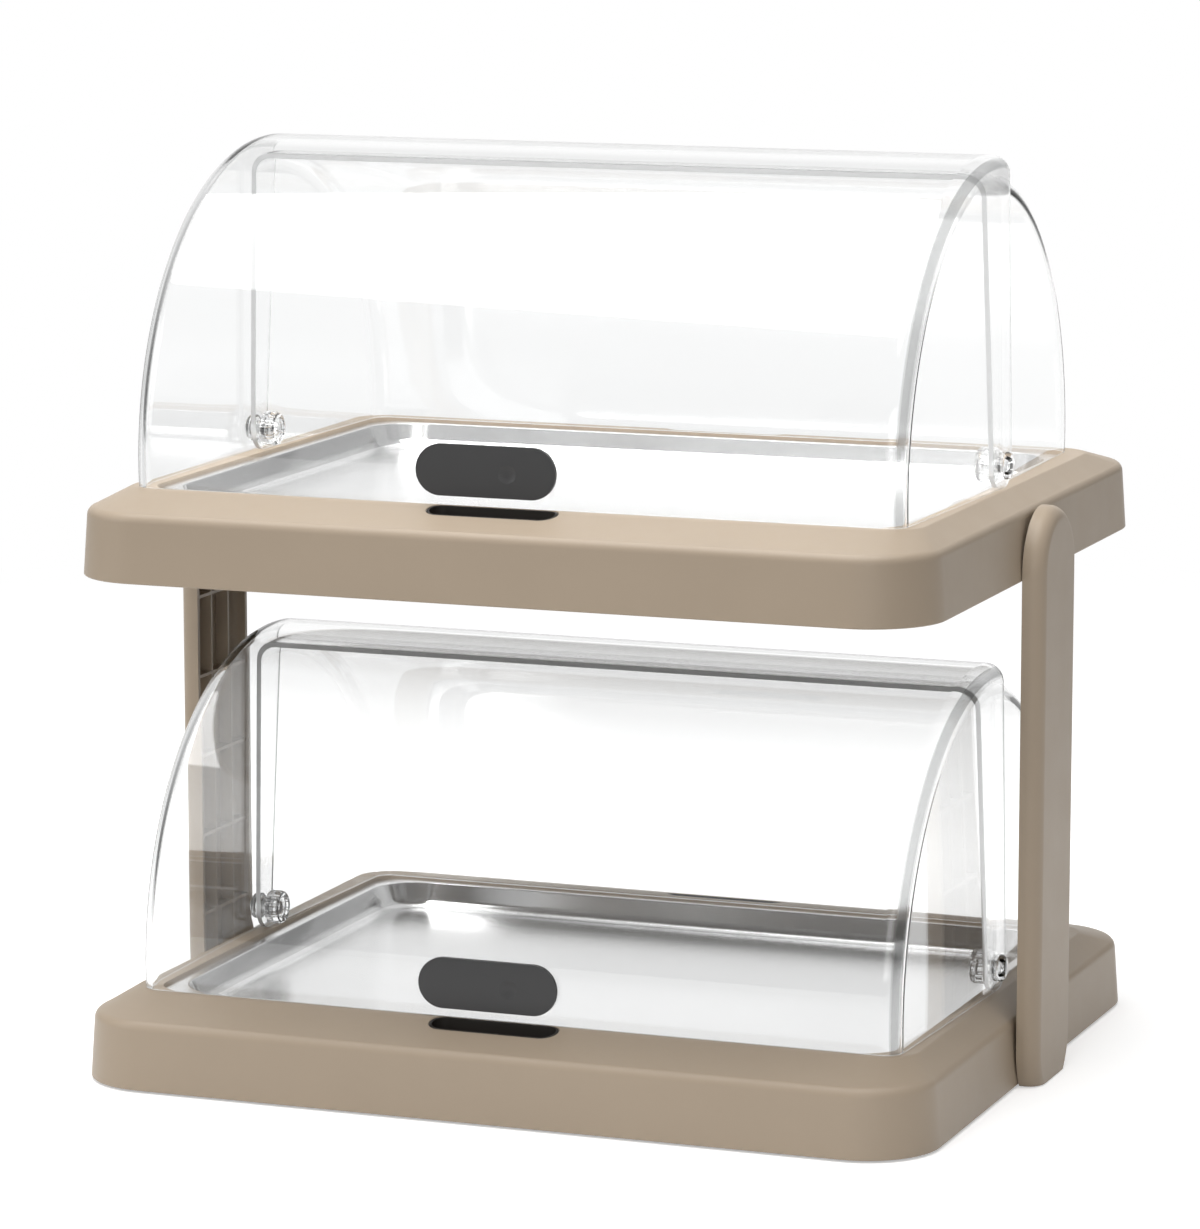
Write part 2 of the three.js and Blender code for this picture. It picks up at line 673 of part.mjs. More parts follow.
function addTier(name, level) {
  const tier = new THREE.Group();
  tier.position.z = footProud + level * tierSpacing;
  display.add(tier);
  addPiece(tier, `${name}_base`, beige, makeBase());
  addPiece(tier, `${name}_bottom_panel`, beige, makePanel(level === 0));
  addPiece(tier, `${name}_front_finger_cup`, darkPlastic, makeFingerCup(-1, frontSlotShift));
  addPiece(tier, `${name}_rear_finger_cup`, darkPlastic, makeFingerCup(1, rearSlotShift));
  addPiece(tier, `${name}_tray`, steel, makeTray());
  for (const [sideName, side] of [['left', -1], ['right', 1]]) {
    addPiece(tier, `${name}_${sideName}_cold_pack`, packPlastic, makePack(side));
    addPiece(tier, `${name}_${sideName}_pack_cap`, capPlastic, makeCap(side));
  }
  fourCorners(panelScrewX, panelScrewY).forEach(([x, y], corner) =>
    addPiece(tier, `${name}_panel_screw_${corner + 1}`, zinc, makePanelScrew(x, y)));

  const hinge = new THREE.Group();
  hinge.position.z = pivotHeight;
  tier.add(hinge);
  addPiece(hinge, `${name}_front_cover`, clear, makeShell(-1, coverRadius, coverHalfWidth));
  addPiece(hinge, `${name}_rear_cover`, clear, makeShell(1, rearRadius, rearHalfWidth));
  addPiece(hinge, `${name}_thumb_plate`, darkPlastic, makePlate());
  for (const [sideName, side] of [['left', -1], ['right', 1]]) {
    addPiece(hinge, `${name}_${sideName}_hinge_pin`, clear, makePin(side));
    addPiece(hinge, `${name}_${sideName}_hinge_knob`, clear, makeKnob(side));
  }
}

addTier('lower', 0);
addTier('upper', 1);
for (const [sideName, side] of [['left', -1], ['right', 1]]) {
  addPiece(display, `${sideName}_column`, beige, makeColumn(side));
  columnScrewPlaces.forEach(([y, z], place) =>
    addPiece(display, `${sideName}_column_screw_${place + 1}`, zinc, makeColumnScrew(side, y, z)));
}
fourCorners(footX, footY).forEach(([x, y], corner) => {
  const foot = addPiece(display, `rubber_foot_${corner + 1}`, rubber, makeFoot(x, y));
  foot.position.z = footProud;
});

export default display;
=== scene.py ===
"""Chilled roll-top display with two tiers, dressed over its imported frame."""

import math

import bmesh
import bpy
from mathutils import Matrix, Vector


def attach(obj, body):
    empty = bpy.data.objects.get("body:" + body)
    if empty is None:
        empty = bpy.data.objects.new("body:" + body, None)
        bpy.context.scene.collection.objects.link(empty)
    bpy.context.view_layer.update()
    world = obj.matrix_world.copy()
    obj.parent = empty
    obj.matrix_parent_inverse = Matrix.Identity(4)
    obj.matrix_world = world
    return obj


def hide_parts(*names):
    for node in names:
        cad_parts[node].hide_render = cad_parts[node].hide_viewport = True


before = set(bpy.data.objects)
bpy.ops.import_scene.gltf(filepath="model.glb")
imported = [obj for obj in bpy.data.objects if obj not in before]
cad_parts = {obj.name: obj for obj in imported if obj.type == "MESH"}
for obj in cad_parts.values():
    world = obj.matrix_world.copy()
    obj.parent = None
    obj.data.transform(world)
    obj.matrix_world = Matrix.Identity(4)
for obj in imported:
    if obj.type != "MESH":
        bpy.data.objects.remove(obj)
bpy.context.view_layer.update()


# The picture: a white studio table seen from the front right and slightly above, under one
# large soft box overhead, a smaller one at the left and a weak fill from the camera's side.
# The room behind the camera is dimmer, which the steel and the clear covers pick up.
CAMERA_PLACE = (0.9615, -2.5517, 0.6733)
CAMERA_TURN = 20.85
CAMERA_PITCH = -9.449
CAMERA_LENS = 160.26

camera_data = bpy.data.cameras.new("camera")
camera_data.sensor_width = 36
camera_data.lens = CAMERA_LENS
camera_data.clip_end = 50
camera = bpy.data.objects.new("camera", camera_data)
camera.location = CAMERA_PLACE
camera.rotation_euler = (math.radians(90 + CAMERA_PITCH), 0, math.radians(CAMERA_TURN))
scene = bpy.context.scene
scene.collection.objects.link(camera)
scene.camera = camera
scene.view_settings.view_transform = "Standard"


LAMP_TARGET = (0, 0, 0.2)


def soft_box(name, place, size, power):
    """Area lamp of the given width and height, aimed at the display."""
    lamp = bpy.data.lights.new(name, "AREA")
    lamp.shape = "RECTANGLE"
    lamp.size, lamp.size_y = size
    lamp.energy = power
    box = bpy.data.objects.new(name, lamp)
    box.location = place
    aim = Vector(LAMP_TARGET) - Vector(place)
    box.rotation_euler = aim.to_track_quat("-Z", "Y").to_euler()
    scene.collection.objects.link(box)


soft_box("overhead_box", place=(-0.2, -0.3, 2.2), size=(2.4, 2.0), power=62)
soft_box("left_box", place=(-2.0, -1.6, 1.2), size=(1.2, 1.6), power=15)
soft_box("front_fill", place=(0.9, -2.6, 0.9), size=(1.6, 1.2), power=12)


def seen_directly(nodes, links):
    """One for camera, glossy and transmission rays, which see the white backdrop."""
    path = nodes.new("ShaderNodeLightPath")
    total = None
    for ray in ("Is Camera Ray", "Is Glossy Ray", "Is Transmission Ray"):
        if total is None:
            total = path.outputs[ray]
            continue
        either = nodes.new("ShaderNodeMath")
        either.operation = "MAXIMUM"
        links.new(total, either.inputs[0])
        links.new(path.outputs[ray], either.inputs[1])
        total = either.outputs[0]
    return total


def rise(nodes, links, value, low, high):
    """Zero at the low value and before it, one from the high value on, and smooth between."""
    shade = nodes.new("ShaderNodeMapRange")
    shade.interpolation_type = "SMOOTHSTEP"
    shade.inputs["From Min"].default_value = low
    shade.inputs["From Max"].default_value = high
    links.new(value, shade.inputs["Value"])
    return shade.outputs["Result"]


PLAIN_FILL = 0.33
DIM_ROOM = 0.2
WHITE_ROOM = 1.0
CEILING_SHARE = 0.65


def room_light():
    """White room for what is seen straight, a plain soft fill, and for rays that a surface has
    mirrored a white backdrop behind, a bright ceiling, and a dim front and sides."""
    room = bpy.data.worlds.new("studio_room")
    scene.world = room
    room.use_nodes = True
    nodes, links = room.node_tree.nodes, room.node_tree.links
    nodes.clear()
    place = nodes.new("ShaderNodeTexCoord")
    split = nodes.new("ShaderNodeSeparateXYZ")
    links.new(place.outputs["Generated"], split.inputs[0])

    def put(value, socket):
        if isinstance(value, float):
            socket.default_value = value
        else:
            links.new(value, socket)

    def both(operation, first, second):
        joined = nodes.new("ShaderNodeMath")
        joined.operation = operation
        put(first, joined.inputs[0])
        put(second, joined.inputs[1])
        return joined.outputs[0]

    def blend(factor, low, high):
        mixed = nodes.new("ShaderNodeMix")
        mixed.data_type = "FLOAT"
        put(factor, mixed.inputs["Factor"])
        put(low, mixed.inputs["A"])
        put(high, mixed.inputs["B"])
        return mixed.outputs["Result"]

    left_of = rise(nodes, links, split.outputs["X"], low=0.3, high=0.0)
    below = rise(nodes, links, split.outputs["Z"], low=0.6, high=0.35)
    behind = rise(nodes, links, split.outputs["Y"], low=0.3, high=0.75)
    backdrop = both("MULTIPLY", behind, both("MULTIPLY", below, left_of))
    above = rise(nodes, links, split.outputs["Z"], low=0.1, high=0.4)
    ceiling = both("MULTIPLY", above, CEILING_SHARE)
    mirrored = blend(both("MAXIMUM", backdrop, ceiling), DIM_ROOM, WHITE_ROOM)
    path = nodes.new("ShaderNodeLightPath")
    was_mirrored = both("GREATER_THAN", path.outputs["Glossy Depth"], 0.5)
    room_seen = blend(was_mirrored, WHITE_ROOM, mirrored)
    strength = blend(seen_directly(nodes, links), PLAIN_FILL, room_seen)
    light = nodes.new("ShaderNodeBackground")
    light.inputs["Color"].default_value = (1, 1, 1, 1)
    links.new(strength, light.inputs["Strength"])
    out = nodes.new("ShaderNodeOutputWorld")
    links.new(light.outputs[0], out.inputs["Surface"])


room_light()


TABLE_SIZE = 12
TABLE_GREY = 0.8
TABLE_GLOW = 0.42
FADE_FROM, FADE_TO = 0.6, 1.6


def table_top():
    """White table top that keeps the object's shadow and runs out into the white backdrop."""
    bpy.ops.mesh.primitive_plane_add(size=TABLE_SIZE, location=(0, 0, 0))
    top = bpy.context.object
    top.name = "table_top"
    paint = bpy.data.materials.new("table_paint")
    paint.use_nodes = True
    nodes, links = paint.node_tree.nodes, paint.node_tree.links
    nodes.clear()
    board = nodes.new("ShaderNodeBsdfDiffuse")
    board.inputs["Color"].default_value = (TABLE_GREY, TABLE_GREY, TABLE_GREY, 1)
    glow = nodes.new("ShaderNodeEmission")
    links.new(seen_directly(nodes, links), glow.inputs["Strength"])
    glow.inputs["Color"].default_value = (TABLE_GLOW, TABLE_GLOW, TABLE_GLOW, 1)
    near = nodes.new("ShaderNodeAddShader")
    links.new(board.outputs[0], near.inputs[0])
    links.new(glow.outputs[0], near.inputs[1])
    far = nodes.new("ShaderNodeEmission")
    links.new(seen_directly(nodes, links), far.inputs["Strength"])
    place = nodes.new("ShaderNodeTexCoord")
    distance = nodes.new("ShaderNodeVectorMath")
    distance.operation = "LENGTH"
    links.new(place.outputs["Object"], distance.inputs[0])
    fade = nodes.new("ShaderNodeMixShader")
    away = rise(nodes, links, distance.outputs["Value"], FADE_FROM, FADE_TO)
    links.new(away, fade.inputs["Fac"])
    links.new(near.outputs[0], fade.inputs[1])
    links.new(far.outputs[0], fade.inputs[2])
    out = nodes.new("ShaderNodeOutputMaterial")
    links.new(fade.outputs[0], out.inputs["Surface"])
    top.data.materials.append(paint)


table_top()


# Bases: one moulded shell each, with a leaning side wall, a flange that slopes up to the land under
# the cover, a well whose ledge takes the tray, and two finger slots. An outline is a rounded
# rectangle's half width, half depth and corner radius in millimetres, and heights are a tier's own.
MM = 0.001
FOOT_PROUD = 1.2
TIER_SPACING = 252
TIERS = {"lower": FOOT_PROUD, "upper": FOOT_PROUD + TIER_SPACING}
CORNER_STEPS = 12
EDGE_STEPS = 6
SEAT_GAP = 0.3
END_STRAIGHT = 0.01

BASE_OUTLINE = (220, 191, 38)
LIP_OUTLINE = (192.5, 146.5, 17)
WELL_OUTLINE = (186.9, 140.9, 14.2)
BASE_WALL = 3
WELL_WALL = 2.5
SLOT_HALF = (33.5, 8)
SLOTS = {"front": (-5.5, -157.5), "rear": (3, 157.5)}
SLOT_EDGE = 0.5
SLOT_ZONE_X, SLOT_ZONE_Y, SLOT_ZONE_Z = 50, 149, 33  # a slot's edges lie under, over and above these


def start_piece(name):
    """Empties the selection and opens a new, empty mesh in edit mode."""
    bpy.ops.object.select_all(action="DESELECT")
    bpy.ops.mesh.primitive_plane_add(size=2)
    piece = bpy.context.object
    piece.name = name
    bpy.ops.object.mode_set(mode="EDIT")
    bpy.ops.mesh.delete(type="VERT")
    return piece


def select_rings(piece, *numbers):
    """Selects the edges of some rings of the mesh in edit mode, found by their ring numbers."""
    mesh = bmesh.from_edit_mesh(piece.data)
    ring = mesh.verts.layers.int["ring"]
    bpy.ops.mesh.select_all(action="DESELECT")
    for edge in mesh.edges:
        ends = [vertex[ring] for vertex in edge.verts]
        if ends[0] == ends[1] and ends[0] in numbers:
            edge.select_set(True)
    bmesh.update_edit_mesh(piece.data)


def bridge_rings(piece, first, second):
    """Bridges two rings of the mesh in edit mode."""
    select_rings(piece, first, second)
    bpy.ops.mesh.bridge_edge_loops()


def add_ring(piece, number, half_x, half_y, radius, z, steps):
    """Adds a rounded outline in edit mode: a plane with bevelled corners and no face."""
    bpy.ops.mesh.select_all(action="DESELECT")
    bpy.ops.mesh.primitive_plane_add(size=2 * MM, location=(0, 0, z * MM))
    bpy.ops.transform.resize(value=(half_x, half_y, 1), center_override=(0, 0, z * MM))
    bpy.ops.mesh.bevel(offset=radius * MM, segments=steps, affect="VERTICES")
    mesh = bmesh.from_edit_mesh(piece.data)
    ring = mesh.verts.layers.int.get("ring") or mesh.verts.layers.int.new("ring")
    for vertex in mesh.verts:
        if vertex.select:
            vertex[ring] = number
    bmesh.update_edit_mesh(piece.data)
    bpy.ops.mesh.delete(type="ONLY_FACE")


def loft(name, levels, steps=CORNER_STEPS, closed=False):
    """Piece through rounded outlines (half_x, half_y, radius, z), as a tube, ring or capped solid."""
    piece = start_piece(name)
    for number, ring_level in enumerate(levels, 1):
        add_ring(piece, number, *ring_level, steps)
    count = len(levels)
    for number in range(1, count):
        bridge_rings(piece, number, number + 1)
    if closed:
        bridge_rings(piece, count, 1)
    else:
        for end in (1, count):
            select_rings(piece, end)
            bpy.ops.mesh.edge_face_add()
    bpy.ops.mesh.select_all(action="SELECT")
    bpy.ops.mesh.remove_doubles(threshold=1e-6)
    bpy.ops.mesh.normals_make_consistent(inside=False)
    bpy.ops.object.mode_set(mode="OBJECT")
    return piece


def only(piece):
    """Makes a piece the only one selected."""
    bpy.ops.object.select_all(action="DESELECT")
    piece.select_set(True)
    bpy.context.view_layer.objects.active = piece


def move_mesh(piece, x=0, y=0, z=0):
    """Moves a piece by millimetres and leaves its object at the origin."""
    only(piece)
    bpy.ops.transform.translate(value=(x * MM, y * MM, z * MM))
    bpy.ops.object.transform_apply(location=True, rotation=True, scale=True)


def carve(piece, tool, operation="DIFFERENCE", own_finish=False):
    """Cuts, joins or trims a piece with another solid, whose finish its faces may keep."""
    only(piece)
    change = piece.modifiers.new("carve", "BOOLEAN")
    change.object = tool
    change.operation = operation
    change.solver = "EXACT"
    change.material_mode = "TRANSFER" if own_finish else "INDEX"
    bpy.ops.object.modifier_apply(modifier=change.name)
    bpy.data.objects.remove(tool)


def smooth(piece, angle=28):
    """Smooth shading with edges sharper than an angle kept crisp, and large faces kept even."""
    only(piece)
    bpy.ops.object.shade_smooth_by_angle(angle=math.radians(angle))
    change = piece.modifiers.new("even_faces", "WEIGHTED_NORMAL")
    change.keep_sharp = True
    change.weight = 100
    bpy.ops.object.modifier_apply(modifier=change.name)


def repeat(piece, name, z=0):
    """Copy of a piece with its own mesh, moved up by millimetres."""
    copy = piece.copy()
    copy.data = piece.data.copy()
    copy.name = name
    scene.collection.objects.link(copy)
    move_mesh(copy, z=z)
    return copy


def level(outline, inset, z):
    """Outline drawn in by an inset, at a height."""
    half_x, half_y, radius = outline
    return half_x - inset, half_y - inset, radius - inset, z


def rounding(outline, inset, reach, z, climb, steps=EDGE_STEPS):
    """Levels that round an edge off: the inset grows by reach while z grows by climb."""
    levels = []
    for step in range(steps + 1):
        turn = math.pi / 2 * step / steps
        grown = inset + reach * (1 - math.cos(turn))
        levels.append(level(outline, grown, z + climb * math.sin(turn)))
    return levels


MOTTLE = 0.02


def plastic(name, colour, roughness, grain, depth, spread=0.06):
    """Moulded plastic: fine grain in the height, and slow changes of colour and of gloss."""
    made = bpy.data.materials.new(name)
    made.use_nodes = True
    nodes, links = made.node_tree.nodes, made.node_tree.links
    shader = nodes["Principled BSDF"]
    shader.inputs["Specular IOR Level"].default_value = 0.35
    place = nodes.new("ShaderNodeTexCoord")

    def noise(scale, detail):
        pattern = nodes.new("ShaderNodeTexNoise")
        pattern.inputs["Scale"].default_value = scale
        pattern.inputs["Detail"].default_value = detail
        links.new(place.outputs["Object"], pattern.inputs["Vector"])
        return pattern.outputs["Fac"]

    tint = nodes.new("ShaderNodeValToRGB")
    tint.color_ramp.elements[0].position = 0.3
    tint.color_ramp.elements[1].position = 0.7
    tint.color_ramp.elements[0].color = (*[part * (1 - MOTTLE) for part in colour], 1)
    tint.color_ramp.elements[1].color = (*[part * (1 + MOTTLE) for part in colour], 1)
    links.new(noise(14, 4), tint.inputs["Fac"])
    links.new(tint.outputs["Color"], shader.inputs["Base Color"])
    gloss = nodes.new("ShaderNodeMapRange")
    gloss.inputs["To Min"].default_value = roughness - spread
    gloss.inputs["To Max"].default_value = roughness + spread
    links.new(noise(55, 5), gloss.inputs["Value"])
    links.new(gloss.outputs["Result"], shader.inputs["Roughness"])
    bump = nodes.new("ShaderNodeBump")
    bump.inputs["Strength"].default_value = 0.6
    bump.inputs["Distance"].default_value = depth * MM
    links.new(noise(1 / (grain * MM), 2), bump.inputs["Height"])
    links.new(bump.outputs["Normal"], shader.inputs["Normal"])
    return made


BEIGE = plastic("warm_grey_beige_plastic", (0.355, 0.285, 0.212), 0.42, 0.9, 0.05)

flange_face = [
    level(BASE_OUTLINE, 0, 0.5),
    *rounding(BASE_OUTLINE, inset=2, reach=5, z=29.3, climb=5)[:-1],
    (204.6, 155.5, 20.0, 40.6),
    (204.0, 153.5, 19.0, 40.95),
    (203.2, 152.9, 18.6, 41.02),
    level(LIP_OUTLINE, -0.6, 41.0),
]
base_profile = [
    level(BASE_OUTLINE, 0.4, 0.0),
    *flange_face,
    level(LIP_OUTLINE, -0.15, 40.82),
    level(LIP_OUTLINE, 0, 40.4),
    level(LIP_OUTLINE, 0, 37.75),
    level(WELL_OUTLINE, -0.6, 37.7),
    level(WELL_OUTLINE, 0, 37.1),
    level(WELL_OUTLINE, 0, 3.7),
    level(WELL_OUTLINE, -WELL_WALL, 3.75),
    level(WELL_OUTLINE, -WELL_WALL, 31.3),
    level(BASE_OUTLINE, 10, 31.25),
    level(BASE_OUTLINE, 5, 29.3),
    level(BASE_OUTLINE, BASE_WALL, 0.05),
]


def slot_block(name, shift, middle, growth, low, high):
    """Solid of a finger slot's outline, grown all round, between two heights."""
    half_x, half_y = SLOT_HALF[0] + growth, SLOT_HALF[1] + growth
    outline = (half_x, half_y, half_y - END_STRAIGHT)
    block = loft(name, [level(outline, 0, low), level(outline, 0, high)])
    move_mesh(block, shift, middle)
    return block


def on_slot_edge(edge):
    """Whether an edge joins a slot's upright wall to the flange's upper face."""
    ends = [vertex.co for vertex in edge.verts]
    steepness = sorted(abs(face.normal.z) for face in edge.link_faces)
    meets = len(steepness) == 2 and steepness[0] < 0.1 and steepness[1] > 0.9
    near_slot = all(
        abs(end.x) < SLOT_ZONE_X * MM and abs(end.y) > SLOT_ZONE_Y * MM and end.z >= SLOT_ZONE_Z * MM
        for end in ends)
    return meets and near_slot


base = loft("lower_base_shell", base_profile, closed=True)
for slot_name, (shift, middle) in SLOTS.items():
    carve(base, slot_block(f"{slot_name}_slot_cutter", shift, middle, 0, low=20, high=50))
bpy.ops.object.mode_set(mode="EDIT")
bpy.ops.mesh.select_mode(type="EDGE")
shape = bmesh.from_edit_mesh(base.data)
bpy.ops.mesh.select_all(action="DESELECT")
for edge in shape.edges:
    if on_slot_edge(edge):
        edge.select_set(True)
bmesh.update_edit_mesh(base.data)
bpy.ops.mesh.bevel(offset=SLOT_EDGE * MM, segments=3, affect="EDGES")
bpy.ops.object.mode_set(mode="OBJECT")
smooth(base)
base.data.materials.append(BEIGE)
bases = {"lower": base, "upper": repeat(base, "upper_base_shell", TIERS["upper"])}
move_mesh(base, z=TIERS["lower"])
for tier, piece in bases.items():
    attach(piece, "frame")
    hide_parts(f"{tier}_base")


# Finger cups: liners pressed up into the slots, so that fingertips can reach under the cover's edge.
# Their near black colour is painted shade for the unlit hollow seen through the slots. Their rims
# follow the flange just below its face; the collar is out of sight.
# near black cup colour: painted shade for the unlit hollow under the flange
PAINTED_SLOT_SHADE = plastic("painted_slot_shade_plastic", (0.018, 0.015, 0.012), 0.5, 0.7, 0.03)
CUP_WALL = 1.2
CUP_COLLAR = 3
cup_skin = [(half_x, half_y, radius, z - SEAT_GAP) for half_x, half_y, radius, z in flange_face]
for slot_name, (shift, middle) in SLOTS.items():
    cup = slot_block("cup", shift, middle, -SEAT_GAP, low=10.8, high=41)
    carve(cup, slot_block("collar", shift, middle, CUP_COLLAR, low=29.5, high=31), "UNION")
    carve(cup, loft("flange_skin", cup_skin), "INTERSECT")
    carve(cup, slot_block("inside", shift, middle, -SEAT_GAP - CUP_WALL, low=12, high=50))
    smooth(cup)
    cup.data.materials.append(PAINTED_SLOT_SHADE)
    for tier, height in TIERS.items():
        piece = repeat(cup, f"{tier}_{slot_name}_cup", height)
        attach(piece, "frame")
        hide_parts(f"{tier}_{slot_name}_finger_cup")
    bpy.data.objects.remove(cup)


# Trays: pressed from one sheet of stainless steel, with a flat rim that lies on the base's ledge,
# a steep wall with a rounded foot, and a flat floor. Satin from the rolling, almost mirror bright.
def rolled_steel(name, colour, roughness, streak):
    """Bright sheet steel: long fine rolling streaks in the gloss and the height."""
    made = bpy.data.materials.new(name)
    made.use_nodes = True
    nodes, links = made.node_tree.nodes, made.node_tree.links
    shader = nodes["Principled BSDF"]
    shader.inputs["Metallic"].default_value = 1
    place = nodes.new("ShaderNodeTexCoord")
    stretch = nodes.new("ShaderNodeMapping")
    stretch.inputs["Scale"].default_value = (6, 900, 900)
    links.new(place.outputs["Object"], stretch.inputs["Vector"])
    lines = nodes.new("ShaderNodeTexNoise")
    lines.inputs["Scale"].default_value = 1
    lines.inputs["Detail"].default_value = 4
    links.new(stretch.outputs[0], lines.inputs["Vector"])
    cloud = nodes.new("ShaderNodeTexNoise")
    cloud.inputs["Scale"].default_value = 9
    links.new(place.outputs["Object"], cloud.inputs["Vector"])
    tint = nodes.new("ShaderNodeValToRGB")
    tint.color_ramp.elements[0].color = (*[part * 0.95 for part in colour], 1)
    tint.color_ramp.elements[1].color = (*colour, 1)
    links.new(cloud.outputs["Fac"], tint.inputs["Fac"])
    links.new(tint.outputs["Color"], shader.inputs["Base Color"])
    gloss = nodes.new("ShaderNodeMapRange")
    gloss.inputs["To Min"].default_value = roughness - streak
    gloss.inputs["To Max"].default_value = roughness + streak
    links.new(lines.outputs["Fac"], gloss.inputs["Value"])
    links.new(gloss.outputs["Result"], shader.inputs["Roughness"])
    bump = nodes.new("ShaderNodeBump")
    bump.inputs["Strength"].default_value = 0.25
    bump.inputs["Distance"].default_value = 0.01 * MM
    links.new(lines.outputs["Fac"], bump.inputs["Height"])
    links.new(bump.outputs["Normal"], shader.inputs["Normal"])
    return made


STEEL = rolled_steel("rolled_stainless_steel", (0.94, 0.94, 0.94), 0.24, 0.05)
# Wall and foot steel: a smoother drawn finish, and a darker colour that is painted shade for the dim
# surroundings the leaning wall mirrors.
DRAWN_STEEL_PAINTED_SHADE = rolled_steel("drawn_steel_painted_shade", (0.72, 0.72, 0.72), 0.15, 0.05)

TRAY_WALL = (185.2, 139.2, 26)
TRAY_RIM = (192.2, 146.2, 16.7)
TRAY_SHEET = 1
WALL_INSET = 0.3
WALL_LEAN = math.radians(27)
FOOT_RADIUS = 9
FOOT_STEPS = 8
FLOOR_HEIGHT = 26.7
RIM_HEIGHT = 38.0
SHADED_WALL_FROM, SHADED_WALL_TO = 0.15, 0.75  # how far up the faces of the wall and its foot reach that get the darker steel, painted shade


def tray_foot(sheet):
    """Levels of the rounding from the leaning wall to the floor, at a depth into the sheet."""
    levels = []
    wall = RIM_HEIGHT - FLOOR_HEIGHT - FOOT_RADIUS * (1 - math.sin(WALL_LEAN))
    middle = WALL_INSET + wall * math.tan(WALL_LEAN) + FOOT_RADIUS * math.cos(WALL_LEAN)
    for step in range(FOOT_STEPS + 1):
        turn = WALL_LEAN + (math.pi / 2 - WALL_LEAN) * step / FOOT_STEPS
        inset = middle - (FOOT_RADIUS + sheet) * math.cos(turn)
        height = FLOOR_HEIGHT + FOOT_RADIUS - (FOOT_RADIUS + sheet) * math.sin(turn)
        levels.append(level(TRAY_WALL, inset, height))
    return levels


tray_profile = [
    *reversed(tray_foot(0)),
    level(TRAY_WALL, WALL_INSET, RIM_HEIGHT),
    level(TRAY_WALL, 0, 38.8),
    level(TRAY_WALL, -0.3, 39.1),
    level(TRAY_WALL, -0.9, 39.2),
    level(TRAY_RIM, 0.4, 39.15),
    level(TRAY_RIM, 0, 38.9),
    level(TRAY_RIM, 0, 38.3),
    level(TRAY_RIM, 0.3, RIM_HEIGHT),
    level(TRAY_WALL, -TRAY_SHEET, 37.95),
    *tray_foot(TRAY_SHEET),
]
tray = loft("tray", tray_profile)
smooth(tray, 40)
for finish in (STEEL, DRAWN_STEEL_PAINTED_SHADE):
    tray.data.materials.append(finish)
for face in tray.data.polygons:
    # faces of the leaning wall and its foot, picked by slope, get the darker steel: painted shade
    face.material_index = int(SHADED_WALL_FROM < face.normal.z < SHADED_WALL_TO)
for tier, height in TIERS.items():
    piece = repeat(tray, f"{tier}_steel_tray", height)
    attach(piece, "frame")
    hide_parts(f"{tier}_tray")
bpy.data.objects.remove(tray)


# Under the trays and the bases: blow-moulded cooling packs with their caps, the bottom panels and
# their screws, and the rubber feet. These keep the shapes of the frame and get their finish here.
def finish_nodes(material, *names):
    """Puts a finish on nodes of the frame."""
    for name in names:
        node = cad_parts[name]
        for place in node.material_slots:
            place.material = material


PACK = plastic("blue_pack_plastic", (0.08, 0.24, 0.46), 0.36, 1.6, 0.08)
CAP = plastic("white_cap_plastic", (0.78, 0.80, 0.82), 0.45, 0.8, 0.03)
RUBBER = plastic("dark_foot_rubber", (0.022, 0.022, 0.023), 0.82, 0.6, 0.05)
ZINC = rolled_steel("zinc_plated_steel", (0.46, 0.48, 0.50), 0.34, 0.08)
# Bottom panels: dark brown-grey, partly painted shade, so that the lower tray mirrors a shaded
# underside of the upper base.
PANEL_PAINTED_SHADE = plastic("panel_plastic_painted_shade", (0.15, 0.133, 0.112), 0.5, 1.1, 0.04)
for tier in TIERS:
    finish_nodes(PANEL_PAINTED_SHADE, f"{tier}_bottom_panel")
    for side in ("left", "right"):
        finish_nodes(PACK, f"{tier}_{side}_cold_pack")
        finish_nodes(CAP, f"{tier}_{side}_pack_cap")
    finish_nodes(ZINC, *[f"{tier}_panel_screw_{place}" for place in (1, 2, 3, 4)])
finish_nodes(RUBBER, *[f"rubber_foot_{place}" for place in (1, 2, 3, 4)])


# Covers: two clear shells to a tier, moulded in one piece each as part of a drum with slightly
# conical end walls and rounded rims. The outer one is in front, the inner one at the rear, and
# both turn on the same pins through their rounded ears.
HINGE = 52.2
EAR = 10.9
DRUM_STEPS = 192
COVER_WALL = 2.5
OUTER_CORNER = 9
INNER_CORNER = 7.5
HUB_RADIUS = 12
COVER_TAPER = 4  # an end wall leans in by this over the taper's span
TAPER_SPAN = 130.5
PIN_BORE = 3.7
PAST_ENDS = 215
PAST_RIM = 165
SHARE_BACK = 10.526  # a shell reaches this far past the hinge at its foot
SHARE_LEAN = 6.15  # and this much further at the top of its share
CORNER_FROM, CORNER_TO = 0.5, 0.9  # how far to the side the faces of the rounded corner reach that get the grey, painted shade
